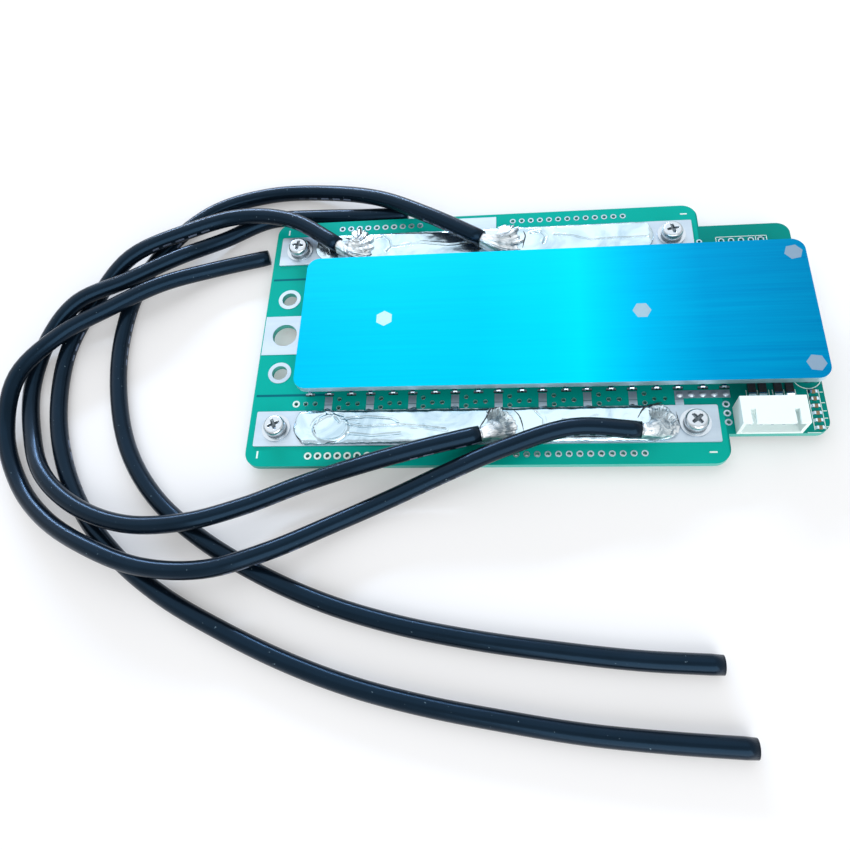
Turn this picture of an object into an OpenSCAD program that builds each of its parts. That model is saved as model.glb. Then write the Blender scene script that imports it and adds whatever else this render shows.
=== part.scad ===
// Battery management board: a power circuit board with two rows of switching transistors
// under an aluminium heat-sink plate, a narrower control section at its right-hand end,
// soldered current strips along its front and back, and four silicone cables.
// Millimetres, +X along the board, +Y from the battery strip to the load strip, +Z up.
// The board rests on the nuts of its four strip screws, at z = 0.

/* [Circuit board] */
// Length of the main, full-width section
main_l = 119; // [105:0.5:150]
// Width of the main section
board_w = 77; // [74:0.5:90]
// Length that the narrower control section adds at the right
ext_l = 23.2; // [22.5:0.1:32]
// Width of the control section
ext_w = 62; // [58:0.5:70]
// Thickness of the laminate
board_t = 1.6; // [1.2:0.1:2.4]
// Corner radius of the main section
corner_r = 4; // [1:0.5:5]
// Corner radius of the control section
ext_corner_r = 3.3; // [1:0.1:4.5]

/* [Current strips] */
// Width of each tinned strip
strip_w = 9.8; // [9:0.1:12]
// Distance from the board's long edge to a strip
strip_edge = 5.4; // [4.5:0.1:6]
// Distance from the ends of the main section to a strip
strip_end = 1.8; // [1:0.1:4]
// Thickness of the copper bar soldered along a strip
bar_t = 0.4; // [0.3:0.1:1]
// Height of the solder bed on top of the bar
bed_h = 1.1; // [0.8:0.1:1.3]
// Bare length of the bar at each end, left flat for its screw
bar_bare_l = 10.5; // [9.5:0.5:14]
// Thickness of the tinned lands on the board
land_t = 0.1; // [0.08:0.01:0.2]
// Width of the tinned fingers between the transistors
finger_w = 2; // [1.6:0.1:3]
// Length of the tinned fingers
finger_l = 4.1; // [3:0.1:4.6]

/* [Terminal] */
// Bore of the large charge terminal at the left end
terminal_d = 6.8; // [5.5:0.1:7.5]
// Distance from the left end to the terminal holes
terminal_x = 6.2; // [5.6:0.1:7]
// Width of the tinned land round the terminal
terminal_land_w = 12.2; // [8.8:0.1:13]
// Bore of the two ringed lead holes
lead_hole_d = 4.2; // [3:0.1:4.6]
// Distance between the large hole and each ringed hole
lead_hole_pitch = 11.7; // [10.5:0.1:13]
// Outer diameter of the tinned rings
lead_ring_d = 6.3; // [5.4:0.1:6.6]

/* [Small holes] */
// Pitch of the plated hole rows
hole_pitch = 2.54; // [2:0.01:3]
// Diameter of the plated holes
hole_d = 1; // [0.7:0.1:1.2]
// Distance from the long edge to the rows of plated holes
hole_row_edge = 2.75; // [2:0.05:3.2]

/* [Heat-sink plate] */
// Length of the plate
plate_l = 129.4; // [118:0.2:150]
// Width of the plate
plate_w = 40.2; // [38.5:0.1:42]
// Thickness of the plate
plate_t = 2; // [1.5:0.1:3]
// Corner radius of the plate
plate_r = 3.3; // [1:0.1:5]
// Distance from the left end of the board to the plate
plate_x = 12.6; // [12:0.1:13]
// Width across the flats of the pressed-in standoff heads
clinch_af = 4; // [3.8:0.1:5.4]
// Depth of the pressed-in standoff heads
clinch_h = 1.2; // [0.8:0.1:1.4]
// Outer diameter of the standoffs
standoff_d = 3.6; // [3.4:0.1:4.5]
// Thread diameter of the standoff screws
standoff_screw_d = 2.5; // [2:0.1:2.6]
// Distance from the left end of the board to the first standoff
first_standoff_x = 35; // [32:0.1:38]
// Distance from the left end of the board to the second standoff
second_standoff_x = 100.4; // [96:0.1:104]
// Distance from the right end of the board to its pair of standoffs
end_standoff_x = 3.3; // [3:0.1:5]
// Distance between that pair of standoffs
end_standoff_span = 32; // [28:0.5:33]

/* [Transistors] */
// Pitch of the transistors along a row
fet_pitch = 11; // [10.4:0.1:12]
// Distance from the left end to the first transistor's middle
fet_first = 17.95; // [17.8:0.05:19]
// Width of a transistor's body
fet_w = 10; // [9:0.1:10.2]
// Height of a transistor above the board
fet_h = 4.4; // [4:0.1:5]
// Depth of the moulded body
fet_body_d = 9; // [8:0.1:9.4]
// Thickness of the drain tab
tab_t = 1.3; // [1:0.1:1.6]
// How far the tab reaches out from under the body
tab_reach = 1.4; // [1:0.1:1.6]
// Gap between the tabs of a row and the standoffs between the rows
row_gap = 1.5; // [1:0.1:2]
// Width of a lead
lead_w = 1; // [0.7:0.1:1.2]
// Length of the leads from the body to their tips
lead_l = 4.8; // [4:0.1:5]
// Distance between a transistor's outer leads
lead_span = 5.08; // [4:0.02:6]
// Gap between the transistors and the plate, filled by the silicone pads
thermal_t = 0.6; // [0.3:0.1:1.5]

/* [Fasteners] */
// Thread diameter of the strip screws
screw_d = 3; // [2.5:0.1:3]
// Head diameter of the strip screws
head_d = 5.6; // [5:0.1:6.2]
// Head height of the strip screws
head_h = 1.9; // [1.4:0.1:2.4]
// Diameter of the flat washers
washer_d = 7.4; // [6.4:0.1:8]
// Thickness of the flat washers
washer_t = 0.5; // [0.4:0.1:0.8]
// Thickness of the spring washers
spring_t = 0.6; // [0.5:0.1:1]
// Width across the flats of the nuts under the board
nut_af = 5.5; // [5:0.1:6]
// Height of the nuts
nut_h = 2.4; // [2:0.1:3.5]
// Distance from the ends of a strip to its screws
screw_inset = 5.7; // [4.8:0.1:6]
// Head diameter of the standoff screws under the board
low_head_d = 4.8; // [4.4:0.1:5.6]
// Head height of the standoff screws under the board
low_head_h = 1.5; // [1:0.1:1.8]
// Length of standoff screw inside the standoff
standoff_grip = 2.6; // [2:0.1:3.2]

/* [Signal connector] */
// Number of contacts
contacts = 5; // [3:1:6]
// Pitch of the contacts
contact_pitch = 2.5; // [2:0.1:2.5]
// Depth of the housing
housing_d = 7; // [6.6:0.1:8]
// Height of the housing
housing_h = 6.2; // [5.6:0.1:6.6]
// Wall thickness of the housing
housing_wall = 0.8; // [0.6:0.05:1]
// Thickness of the square contacts
contact_t = 0.6; // [0.4:0.05:0.64]
// Width of the roof slots at their closed end
slot_w = 1.2; // [0.8:0.1:1.6]
// Length of the roof slots
slot_l = 3.6; // [2.5:0.1:4.2]

/* [Controller] */
// Length of the controller's body
chip_l = 9.7; // [8:0.1:12]
// Width of the controller's body
chip_w = 4.4; // [4:0.1:5]
// Height of the controller above the board
chip_h = 1.2; // [1:0.1:1.6]
// Leads along each side of the controller
chip_leads = 14; // [8:1:16]

/* [Cables] */
// Outside diameter of the silicone insulation
cable_d = 4.5; // [4:0.1:5.5]
// Diameter of the tinned strands
wire_d = 3; // [2.4:0.1:3.4]
// Height of the cables' middle above the board where they are soldered
wire_rise = 4; // [3.9:0.1:4.4]
// Distance from the left end to the left-hand battery cable's insulation
battery_left_x = 60.1; // [56:0.1:66]
// Distance from the right-hand battery screw to the other battery cable's insulation
battery_right_x = 13.4; // [12.2:0.1:18]
// Distance from the left end to the left-hand load cable's insulation
load_left_x = 19.6; // [18:0.1:24]
// Distance from the left end to the right-hand load cable's insulation
load_right_x = 60.1; // [56:0.1:66]

/* [Hidden] */

// The overall outline and the levels from the surface upwards
board_l = main_l + ext_l;
left = -board_l / 2;
main_right = left + main_l;
right = board_l / 2;
z_under = nut_h;
z_top = nut_h + board_t;
plate_gap = fet_h + thermal_t;
z_plate = z_top + plate_gap;

// Strips, screws and fingers
strip_l = main_l - 2 * strip_end;
strip_mid = left + main_l / 2;
strip_y = board_w / 2 - strip_edge - strip_w / 2;
screw_x = strip_l / 2 - screw_inset;
screw_hole_d = screw_d + 0.2;
bay_hole_y = strip_y - strip_w / 2 - 2.2;
tab_land_x = 57.5;
tab_land_l = 13;
tab_land_w = strip_edge - 1;
terminal_land_l = fet_first - fet_w / 2 - 0.6;
bed_side_h = 0.3;

// Transistors: the rows are set from the standoffs between them, and the lead tips
// end just short of the fingers
lead_exit_z = 2.6;
fet_reach = 4;
fet_n = floor((main_l + fet_reach - fet_first - fet_w / 2) / fet_pitch) + 1;
tab_end = standoff_d / 2 + row_gap;
body_front = tab_end + tab_reach + fet_body_d;
tip_y = body_front + lead_l;
standoff_hole_d = standoff_screw_d + 0.2;
clinch_turns = [30, 0, 12, -8];

// Control section
housing_l = contact_pitch * (contacts - 1) + 4.9;
housing_x = main_right + 1.65 + housing_l / 2;
housing_y = -ext_w / 2 + housing_d / 2;
pin_y = -ext_w / 2 + housing_d - 1.4;
pin_tail = 1.2;
back_wall = 2.1;
slot_end = 2.6;
chip_in = 11.5;
chip_x = main_right + chip_in;
chip_y = 0;
cap_dx = 5.2;
cap_dy = 8;
sense_in = 9.5;
sense_size = [6.4, 3.2, 0.8];
resistor_size = [1.8, 3.2, 0.6];
small_size = [1.6, 0.8, 0.5];
resistor_xs = [6.72, 9.19, 12.77, 15.44];
resistor_clear = 4.95;
resistor_y = -ext_w / 2 + housing_d + resistor_clear;
sense_gap = 1.25;
sense_dy = -resistor_y - resistor_size[1] / 2 - sense_size[0] / 2 - sense_gap;
small_x = right - 2.5;
small_pitch = 1.9;
small_first = -end_standoff_span / 2 - standoff_d / 2 - 2.4;
small_n = floor((ext_w / 2 + small_first - 1) / small_pitch) + 1;
header_x = main_right + 10.4;
header_y = ext_w / 2 - 5.2;

// A cable's centreline, from its soldered end to its free end
battery_left_route = [
    [-11, -32, 8], [-27, -36, 8], [-41, -39.5, 6.6], [-55, -43.5, 4.8], [-69, -49.5, 5.6],
    [-83, -54, 7], [-98, -54.5, 7], [-112, -50, 7], [-124, -41, 6], [-132.5, -28, 3],
    [-137, -13, 2.3], [-135, 1.5, 3.8], [-126.5, 11.5, 7.2], [-113, 18.5, 7], [-100, 26.5, 6],
    [-88, 34.5, 3], [-75, 41.5, 2.3], [-60, 42, 2.3], [-46, 41.5, 2.3], [-33, 41.5, 2.3]
];
battery_right_route = [
    [27, -31.5, 8], [11, -30.5, 8], [-5, -35.5, 7.8], [-19, -41, 5.8], [-33, -47, 3.6],
    [-47, -53.5, 3.6], [-61, -61, 6.8], [-76, -65.5, 7], [-92, -65, 7], [-107, -60, 7],
    [-121, -52.5, 5], [-132.5, -42, 3], [-139.5, -28, 4], [-138.5, -12.5, 7.3],
    [-129.5, 0.5, 7], [-116.5, 9, 7], [-103, 17, 6.4], [-89, 24, 3], [-73.5, 28, 2.3]
];
load_left_route = [
    [-51.5, 27, 8], [-66, 36.5, 8], [-82, 39.5, 7.2], [-98, 35, 7.1], [-114, 27, 6.7],
    [-124.5, 14.5, 2.6], [-129, -1.5, 2.3], [-127.5, -19, 2.3], [-122, -35, 2.3],
    [-113, -49.5, 2.3], [-101, -61.5, 2.3], [-87, -71, 2.3], [-71.5, -78.5, 2.3],
    [-55.5, -85, 2.3], [-39.5, -90, 2.3], [-23, -93.5, 2.3], [-6, -96, 2.3],
    [11, -98, 2.3], [28, -99, 2.3], [45, -99.5, 2.3]
];
load_right_route = [
    [-11, 27, 8], [-26, 36, 8], [-41, 44.5, 6.4], [-58, 50.5, 3.2], [-76, 51.5, 2.3],
    [-92.5, 46.5, 2.3], [-104.5, 35, 2.3], [-112, 19.5, 2.3], [-113.5, 1.5, 2.3],
    [-110.5, -16.5, 2.3], [-104, -33, 2.3], [-93.5, -46.5, 2.3], [-79.5, -57, 2.3],
    [-63.5, -65.5, 2.3], [-47, -72, 2.3], [-30, -76.5, 2.3], [-12.5, -79.5, 2.3],
    [5, -81.5, 2.3], [23, -83, 2.3], [40.5, -83.5, 2.3]
];
cable_sides = 10;

// Soldered ends: where each cable's insulation stops
wire_z = z_top + wire_rise;
battery_out = [3.8, 3.3];
load_in = 1.2;
battery_left_end = [left + battery_left_x, -strip_y - battery_out[0], wire_z];
battery_right_end = [strip_mid + screw_x - battery_right_x, -strip_y - battery_out[1], wire_z];
load_left_end = [left + load_left_x, strip_y - load_in, wire_z];
load_right_end = [left + load_right_x, strip_y - load_in, wire_z];

$fn = 48;

// ---- helpers ----

function unit(v) = v / norm(v);
function pick(route, i) = route[max(0, min(len(route) - 1, i))];
function heading(route, i) = unit(pick(route, i + 1) - pick(route, i - 1));
function side_of(t) = unit(cross(t, [0, 0, 1]));

// A route whose first stretch is carried along when its soldered end is elsewhere
function led_from(end, route) =
    [for (i = [0 : len(route) - 1]) route[i] + (end - route[0]) * max(0, 1 - i / 6)];

// A closed tube of diameter d swept along a route of points
module cable(route, d) {
    n = cable_sides;
    rings = len(route);
    points = [
        for (i = [0 : rings - 1])
            let (t = heading(route, i), u = side_of(t), w = cross(u, t))
            for (k = [0 : n - 1])
                route[i] + d / 2 * (cos(360 * k / n) * u + sin(360 * k / n) * w)
    ];
    walls = [
        for (i = [0 : rings - 2], k = [0 : n - 1])
            [i * n + k, i * n + (k + 1) % n, (i + 1) * n + (k + 1) % n, (i + 1) * n + k]
    ];
    start_cap = [[for (k = [n - 1 : -1 : 0]) k]];
    end_cap = [[for (k = [0 : n - 1]) (rings - 1) * n + k]];
    polyhedron(points, concat(walls, start_cap, end_cap), convexity = 10);
}

// A flat slab of size [l, w, t] on the middle of its underside, with corners of radius r
module slab(size, r) {
    linear_extrude(size[2])
        rounded(size[0], size[1], r);
}

module rounded(l, w, r) {
    union() {
        square([l - 2 * r, w], center = true);
        square([l, w - 2 * r], center = true);
        for (sx = [-1, 1], sy = [-1, 1])
            translate([sx * (l / 2 - r), sy * (w / 2 - r)]) circle(r);
    }
}

module block(size) {
    translate([-size[0] / 2, -size[1] / 2, 0]) cube(size);
}

// Children at the four strip screws
module at_strip_screws() {
    for (sx = [-1, 1], sy = [-1, 1])
        translate([strip_mid + sx * screw_x, sy * strip_y, 0]) children();
}

// Children at the four standoffs, each turned as it was pressed in: two between the
// rows, two at the right end
module at_standoffs() {
    spots = [
        [left + first_standoff_x, 0], [left + second_standoff_x, 0],
        [right - end_standoff_x, end_standoff_span / 2],
        [right - end_standoff_x, -end_standoff_span / 2]
    ];
    for (i = [0 : 3])
        translate([spots[i][0], spots[i][1], 0]) rotate([0, 0, clinch_turns[i]]) children();
}

// Children at each transistor of the battery row (side -1) or the load row (side 1),
// turned so that +Y points from the board's middle to the strip
module at_transistors(side) {
    for (i = [0 : fet_n - 1])
        translate([left + fet_first + i * fet_pitch, 0, z_top])
            rotate([0, 0, side > 0 ? 0 : 180]) children();
}

// Places of the fingers: one beside each transistor's source lead
function finger_x(i) = left + fet_first + i * fet_pitch + lead_span / 2;
module at_fingers() {
    for (i = [0 : fet_n - 1], side = [-1, 1])
        if (finger_x(i) + finger_w < main_right - strip_end)
            translate([finger_x(i), side * (strip_y - strip_w / 2), 0])
                rotate([0, 0, side > 0 ? 180 : 0]) children();
}

// ---- circuit board ----

module outline() {
    translate([left + main_l / 2, 0]) rounded(main_l, board_w, corner_r);
    translate([right - (ext_l + main_l / 2) / 2, 0])
        rounded(ext_l + main_l / 2, ext_w, ext_corner_r);
}

module drill(x, y, d) {
    translate([x, y, z_under - 1]) cylinder(h = board_t + 2, d = d, $fn = 24);
}

// Two rows of plated holes along each long edge, apart at the load side's tab
module edge_hole_rows() {
    y = board_w / 2 - hole_row_edge;
    second = tab_land_x + tab_land_l / 2 + 4.7;
    second_n = min(13, floor((main_l - second - 14) / hole_pitch));
    for (i = [0 : 9]) {
        drill(left + 16.5 + i * hole_pitch, -y, hole_d);
        drill(left + 19.3 + i * hole_pitch, y, hole_d);
    }
    for (i = [0 : second_n - 1], side = [-1, 1])
        drill(left + second + i * hole_pitch, side * y, hole_d);
}

// Test holes beside the fingers: four in each bay and three before the first finger
module bay_holes() {
    for (i = [0 : 2], side = [-1, 1])
        drill(left + plate_x - 0.75 + i * hole_pitch, side * bay_hole_y, hole_d);
    for (i = [0 : fet_n - 2], side = [-1, 1]) {
        x = finger_x(i) + 2.8;
        y = side * bay_hole_y;
        if (x + 2 * hole_pitch < main_right - strip_end - finger_w) {
            drill(x, y - 1.25, hole_d);
            drill(x, y + 1.25, hole_d);
            drill(x + 0.925 * hole_pitch, y + side * 0.15, hole_d);
            drill(x + 1.925 * hole_pitch, y + side * 0.15, hole_d);
        }
    }
}

module circuit_board() {
    color("seagreen")
    difference() {
        translate([0, 0, z_under]) linear_extrude(board_t) outline();
        at_strip_screws() drill(0, 0, screw_hole_d);
        at_standoffs() drill(0, 0, standoff_hole_d);
        drill(left + terminal_x, 0, terminal_d);
        for (sy = [-1, 1])
            drill(left + terminal_x, sy * lead_hole_pitch, lead_hole_d);
        edge_hole_rows();
        bay_holes();
        for (i = [0 : 4])
            drill(header_x + (i - 2) * hole_pitch, header_y, hole_d);
        drill(header_x - 10.8, header_y, hole_d * 0.8);
        for (i = [0 : 2])
            drill(main_right + 0.3, -ext_w / 2 + 3.1 + i * 2.4, hole_d);
        for (i = [0 : contacts - 1])
            drill(housing_x + (i - (contacts - 1) / 2) * contact_pitch, pin_y, contact_t * 1.8);
    }
}

// Bare copper areas with a solder coat: fingers, the load tab, the charge terminal
// and the rings of its two lead holes
module tinned_lands() {
    color("silver")
    translate([0, 0, z_top]) {
        difference() {
            union() {
                at_fingers()
                    translate([0, finger_l / 2, 0]) block([finger_w, finger_l, land_t]);
                bridge_land();
            }
            translate([0, 0, -z_top]) lead_feet();
        }
        translate([left + tab_land_x, strip_y + strip_w / 2 + tab_land_w / 2, 0])
            block([tab_land_l, tab_land_w, land_t]);
        difference() {
            translate([left + 0.3, 0, 0]) linear_extrude(land_t) terminal_outline();
            translate([left + terminal_x, 0, -1]) cylinder(h = 3, d = terminal_d);
        }
        for (sy = [-1, 1])
            translate([left + terminal_x, sy * lead_hole_pitch, 0])
                ring(lead_ring_d, lead_hole_d, land_t);
    }
}

// The charge terminal's land widens where it runs in under the plate
module terminal_outline() {
    w = terminal_land_w / 2;
    wide = w + 1.4;
    neck = terminal_land_l - 1.4;
    polygon([[0, -w], [neck, -w], [terminal_land_l, -wide], [terminal_land_l, wide],
             [neck, w], [0, w]]);
}

// The last two battery fingers are joined by a land with five solder bumps
module bridge_land() {
    bridge_w = 2.1;
    bridge_l = fet_pitch + 0.1 + finger_w / 2;
    bump_h = 0.4;
    bump_r = 1.1;
    translate([finger_x(fet_n - 2), -strip_y + strip_w / 2 + finger_l - bridge_w, 0]) {
        translate([finger_w / 2, 0, 0])
            cube([bridge_l - finger_w / 2, bridge_w, land_t]);
        for (i = [0 : 4])
            translate([0.25 + i * (bridge_l - 1.2) / 4, bridge_w / 2, land_t])
                intersection() {
                    translate([0, 0, bump_h - bump_r]) sphere(bump_r);
                    cylinder(h = bump_h, d = 1.7);
                }
    }
}

module ring(outer, inner, t) {
    difference() {
        cylinder(h = t, d = outer);
        translate([0, 0, -1]) cylinder(h = t + 2, d = inner);
    }
}

// ---- current strips ----

module bus_bar(side) {
    translate([0, 0, z_top])
    difference() {
        translate([strip_mid, side * strip_y, 0]) slab([strip_l, strip_w, bar_t], 0.4);
        translate([0, 0, -1]) at_strip_screws() cylinder(h = bar_t + 2, d = screw_hole_d);
    }
}

module battery_bus_bar() { color("silver") bus_bar(-1); }
module load_bus_bar() { color("silver") bus_bar(1); }

// A low crowned bed of solder over the middle of the bar
bed_w = strip_w - 0.4;
bed_l = strip_l - 2 * bar_bare_l;
bed_rise = bed_h - bed_side_h;
crown_r = (bed_w * bed_w / 4 + bed_rise * bed_rise) / (2 * bed_rise);

crown_steps = 10;

module crown(side) {
    arc = [for (i = [0 : crown_steps]) let (y = bed_w * (i / crown_steps - 0.5))
        [y, bed_h - crown_r + sqrt(crown_r * crown_r - y * y)]];
    translate([strip_mid - bed_l / 2, side * strip_y, z_top + bar_t])
        rotate([90, 0, 90]) linear_extrude(bed_l)
            polygon(concat([[-bed_w / 2, 0]], arc, [[bed_w / 2, 0]]));
}

module solder_bed(side) {
    intersection() {
        crown(side);
        translate([strip_mid, side * strip_y, z_top + bar_t]) slab([bed_l, bed_w, bed_h], 2.5);
    }
}

module battery_solder_bed() { color("lightgray") solder_bed(-1); }
module load_solder_bed() { color("lightgray") solder_bed(1); }

// ---- heat-sink plate and what holds it ----

module hexagon(af, h) {
    cylinder(h = h, d = af / cos(30), $fn = 6);
}

module heat_sink_plate() {
    color("deepskyblue")
    difference() {
        translate([left + plate_x + plate_l / 2, 0, z_plate])
            slab([plate_l, plate_w, plate_t], plate_r);
        at_standoffs() {
            translate([0, 0, z_plate - 1]) cylinder(h = plate_t + 2, d = standoff_d);
            translate([0, 0, z_plate + plate_t - clinch_h]) hexagon(clinch_af, clinch_h + 1);
        }
    }
}

module standoffs() {
    color("lightgray")
    at_standoffs() difference() {
        union() {
            translate([0, 0, z_top]) cylinder(h = plate_gap + plate_t, d = standoff_d);
            translate([0, 0, z_plate + plate_t - clinch_h]) hexagon(clinch_af, clinch_h);
        }
        translate([0, 0, z_top - 1])
            cylinder(h = plate_gap + plate_t - clinch_h + 1, d = standoff_screw_d);
    }
}

// Cross recess with tapering arms, cut down from z = 0
module cross_recess(depth) {
    arm_l = 3.4;
    arm_w = 0.75;
    for (a = [0, 90])
        rotate([90, 0, a]) translate([0, 0, -arm_w / 2]) linear_extrude(arm_w)
            polygon([[-arm_l / 2, 1], [arm_l / 2, 1], [arm_l / 2, 0],
                     [arm_l / 5, -depth], [-arm_l / 5, -depth], [-arm_l / 2, 0]]);
}

// A pan head standing on z = 0, with rounded shoulders and a cross recess
module pan_head(d, h) {
    crown_r = d * 0.85;
    difference() {
        intersection() {
            cylinder(h = h, d = d);
            translate([0, 0, h - crown_r]) sphere(crown_r, $fn = 64);
        }
        translate([0, 0, h]) cross_recess(h * 0.62);
    }
}

module standoff_screws() {
    color("silver")
    at_standoffs() {
        translate([0, 0, z_under]) rotate([180, 0, 0]) pan_head(low_head_d, low_head_h);
        translate([0, 0, z_under])
            cylinder(h = board_t + standoff_grip, d = standoff_screw_d);
    }
}

// One silicone strip between each row of transistors and the plate
module thermal_pads() {
    pad_l = (fet_n - 1) * fet_pitch + fet_w - 1;
    pad_w = fet_body_d - 1;
    color("gray")
    for (side = [-1, 1])
        translate([left + fet_first + (fet_n - 1) * fet_pitch / 2,
                   side * (body_front - fet_body_d / 2), z_top + fet_h])
            block([pad_l, pad_w, thermal_t]);
}

// ---- strip fasteners, from the bar upwards and under the board ----

z_washer = z_top + bar_t;
z_spring = z_washer + washer_t;
z_head = z_spring + spring_t;

module flat_washers() {
    color("gainsboro")
    at_strip_screws() translate([0, 0, z_washer]) ring(washer_d, screw_hole_d, washer_t);
}

module spring_washers() {
    color("silver")
    at_strip_screws() translate([0, 0, z_spring])
        difference() {
            ring(head_d - 0.1, screw_hole_d, spring_t);
            rotate([0, 0, 40]) translate([head_d / 2, 0, -1]) rotate([20, 0, 0])
                block([head_d / 2, 0.5, 4]);
        }
}

module strip_screws() {
    color("silver")
    at_strip_screws() {
        translate([0, 0, z_head]) pan_head(head_d, head_h);
        cylinder(h = z_head, d = screw_d);
    }
}

module strip_nuts() {
    color("silver")
    at_strip_screws() difference() {
        intersection() {
            hexagon(nut_af, nut_h);
            translate([0, 0, nut_h / 2]) sphere(nut_af * 0.62, $fn = 64);
        }
        translate([0, 0, -1]) cylinder(h = nut_h + 2, d = screw_d);
    }
}

// ---- transistors ----

// Upright up to the leads and drafted above them, with a pin mark on top
module transistor_body() {
    draft = 8;
    translate([-fet_w / 2, body_front - fet_body_d, 0])
    difference() {
        translate([0, 0, tab_t]) cube([fet_w, fet_body_d, fet_h - tab_t]);
        translate([-1, fet_body_d, lead_exit_z]) rotate([draft, 0, 0])
            cube([fet_w + 2, 3, fet_h + 2]);
        translate([1.6, fet_body_d - 2, fet_h - 0.15]) cylinder(h = 1, d = 1.2, $fn = 24);
    }
}

module battery_side_transistors() { color("dimgray") at_transistors(-1) transistor_body(); }
module load_side_transistors() { color("dimgray") at_transistors(1) transistor_body(); }

module transistor_tabs() {
    color("silver")
    for (side = [-1, 1])
        at_transistors(side)
            translate([-fet_w / 2 + 0.2, tab_end, 0])
                difference() {
                    cube([fet_w - 0.4, fet_body_d + tab_reach - 0.8, tab_t]);
                    for (sx = [0, 1])
                        translate([sx * (fet_w - 0.4), 0, -1]) rotate([0, 0, 45])
                            cube([1.6, 1.6, 2 * tab_t + 4], center = true);
                }
}

// Gull-wing leads that step down from the body to the board
lead_t = 0.5;

module at_leads() {
    for (side = [-1, 1])
        at_transistors(side) for (sx = [-1, 1])
            translate([sx * lead_span / 2 - lead_w / 2, body_front, 0]) children();
}

module transistor_leads() {
    color("silver")
    at_leads()
        rotate([90, 0, 90]) linear_extrude(lead_w)
            polygon([[0, lead_exit_z], [1.4, lead_exit_z], [2.4, lead_t],
                     [lead_l - 0.2, lead_t], [lead_l, lead_t - 0.2], [lead_l, 0], [2.1, 0],
                     [1.1, lead_exit_z - lead_t], [0, lead_exit_z - lead_t]]);
}

// Where the leads stand on the board, kept clear by the fingers' land
module lead_feet() {
    at_leads() translate([0, 0, -1]) cube([lead_w, lead_l, 2]);
}

// ---- signal connector ----

// Side-entry header: open to the front, two tapering guide slots in its roof
module connector_housing() {
    cavity_depth = housing_d - back_wall;
    color("white")
    difference() {
        translate([housing_x, housing_y, z_top]) block([housing_l, housing_d, housing_h]);
        translate([housing_x, -ext_w / 2 + cavity_depth / 2 - 0.5, z_top + housing_wall])
            block([housing_l - 2 * housing_wall, cavity_depth + 1,
                   housing_h - 2 * housing_wall]);
        for (sx = [-1, 1])
            translate([housing_x + sx * (housing_l / 2 - slot_end), -ext_w / 2,
                       z_top + housing_h - housing_wall - 0.5])
                linear_extrude(housing_wall + 1)
                    polygon([[-slot_w / 2, slot_l], [slot_w / 2, slot_l],
                             [slot_w / 3, -1], [-slot_w / 3, -1]]);
        connector_contacts();
    }
}

module connector_contacts() {
    z_mid = z_top + housing_h / 2;
    color("silver")
    for (i = [0 : contacts - 1])
        translate([housing_x + (i - (contacts - 1) / 2) * contact_pitch, 0, 0]) {
            translate([0, (-ext_w / 2 + 1 + pin_y) / 2 + contact_t / 4, z_mid - contact_t / 2])
                block([contact_t, pin_y + ext_w / 2 - 1 + contact_t / 2, contact_t]);
            translate([0, pin_y, z_under - pin_tail])
                block([contact_t, contact_t, z_mid + contact_t / 2 - z_under + pin_tail]);
        }
}

// ---- small parts of the control section ----

// Places and sizes of the chip parts: [x, y, [l, w, h]]
resistor_spots = [for (x = resistor_xs) [main_right + x, resistor_y, resistor_size]];
side_spots = [for (i = [0 : small_n - 1]) [small_x, small_first - i * small_pitch, small_size]];
cap_spots = [for (sx = [-1, 1], sy = [-1, 1])
    [chip_x + sx * cap_dx, chip_y + sy * cap_dy, small_size]];
cap_end = 0.4;

// The body runs between two metal end caps along the part's longer side
module chip_middle(spot) {
    s = spot[2];
    long_y = s[1] > s[0];
    translate([spot[0], spot[1], z_top])
        block(long_y ? [s[0], s[1] - 2 * cap_end, s[2]] : [s[0] - 2 * cap_end, s[1], s[2]]);
}

// An end cap with the solder fillet that runs down from it to the board
module chip_ends(spot) {
    s = spot[2];
    long_y = s[1] > s[0];
    half = max(s[0], s[1]) / 2;
    width = min(s[0], s[1]);
    fillet = s[2];
    translate([spot[0], spot[1], z_top])
        for (k = [0, 180])
            rotate([0, 0, k + (long_y ? 90 : 0)])
                translate([half - cap_end, width / 2, 0])
                    rotate([90, 0, 0]) linear_extrude(width)
                        polygon([[0, 0], [cap_end + fillet, 0], [cap_end, 0.75 * s[2]],
                                 [cap_end, s[2]], [0, s[2]]]);
}

module chip_resistors() {
    color("darkslategray") for (spot = resistor_spots) chip_middle(spot);
}

module chip_capacitors() {
    color("peru") {
        for (spot = side_spots) chip_middle(spot);
        for (spot = cap_spots) chip_middle(spot);
    }
}

module chip_terminals() {
    color("silver") {
        for (spot = resistor_spots) chip_ends(spot);
        for (spot = side_spots) chip_ends(spot);
        for (spot = cap_spots) chip_ends(spot);
    }
}

module controller_chip() {
    color("dimgray")
    difference() {
        translate([chip_x, chip_y, z_top + 0.1]) block([chip_w, chip_l, chip_h - 0.1]);
        translate([chip_x - chip_w / 2 + 1, chip_y + chip_l / 2 - 1, z_top + chip_h - 0.1])
            cylinder(h = 1, d = 0.8, $fn = 24);
    }
}

module controller_leads() {
    pitch = (chip_l - 0.8) / (chip_leads - 1);
    color("silver")
    for (side = [-1, 1], i = [0 : chip_leads - 1])
        translate([chip_x, chip_y + (i - (chip_leads - 1) / 2) * pitch, z_top])
            rotate([0, 0, side > 0 ? 0 : 180])
                translate([chip_w / 2, 0.11, 0]) rotate([90, 0, 0]) linear_extrude(0.22)
                    polygon([[0, 0.65], [0.4, 0.65], [0.65, 0.15], [1, 0.15],
                             [1, 0], [0.5, 0], [0.3, 0.5], [0, 0.5]]);
}

// Low-ohm resistors between the control section's tracks and the strips
module sense_resistors() {
    color("dimgray")
    for (sy = [-1, 1])
        translate([main_right + sense_in, sy * sense_dy, z_top])
            block([sense_size[1], sense_size[0], sense_size[2]]);
}

// ---- soldered cable ends ----

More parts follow.
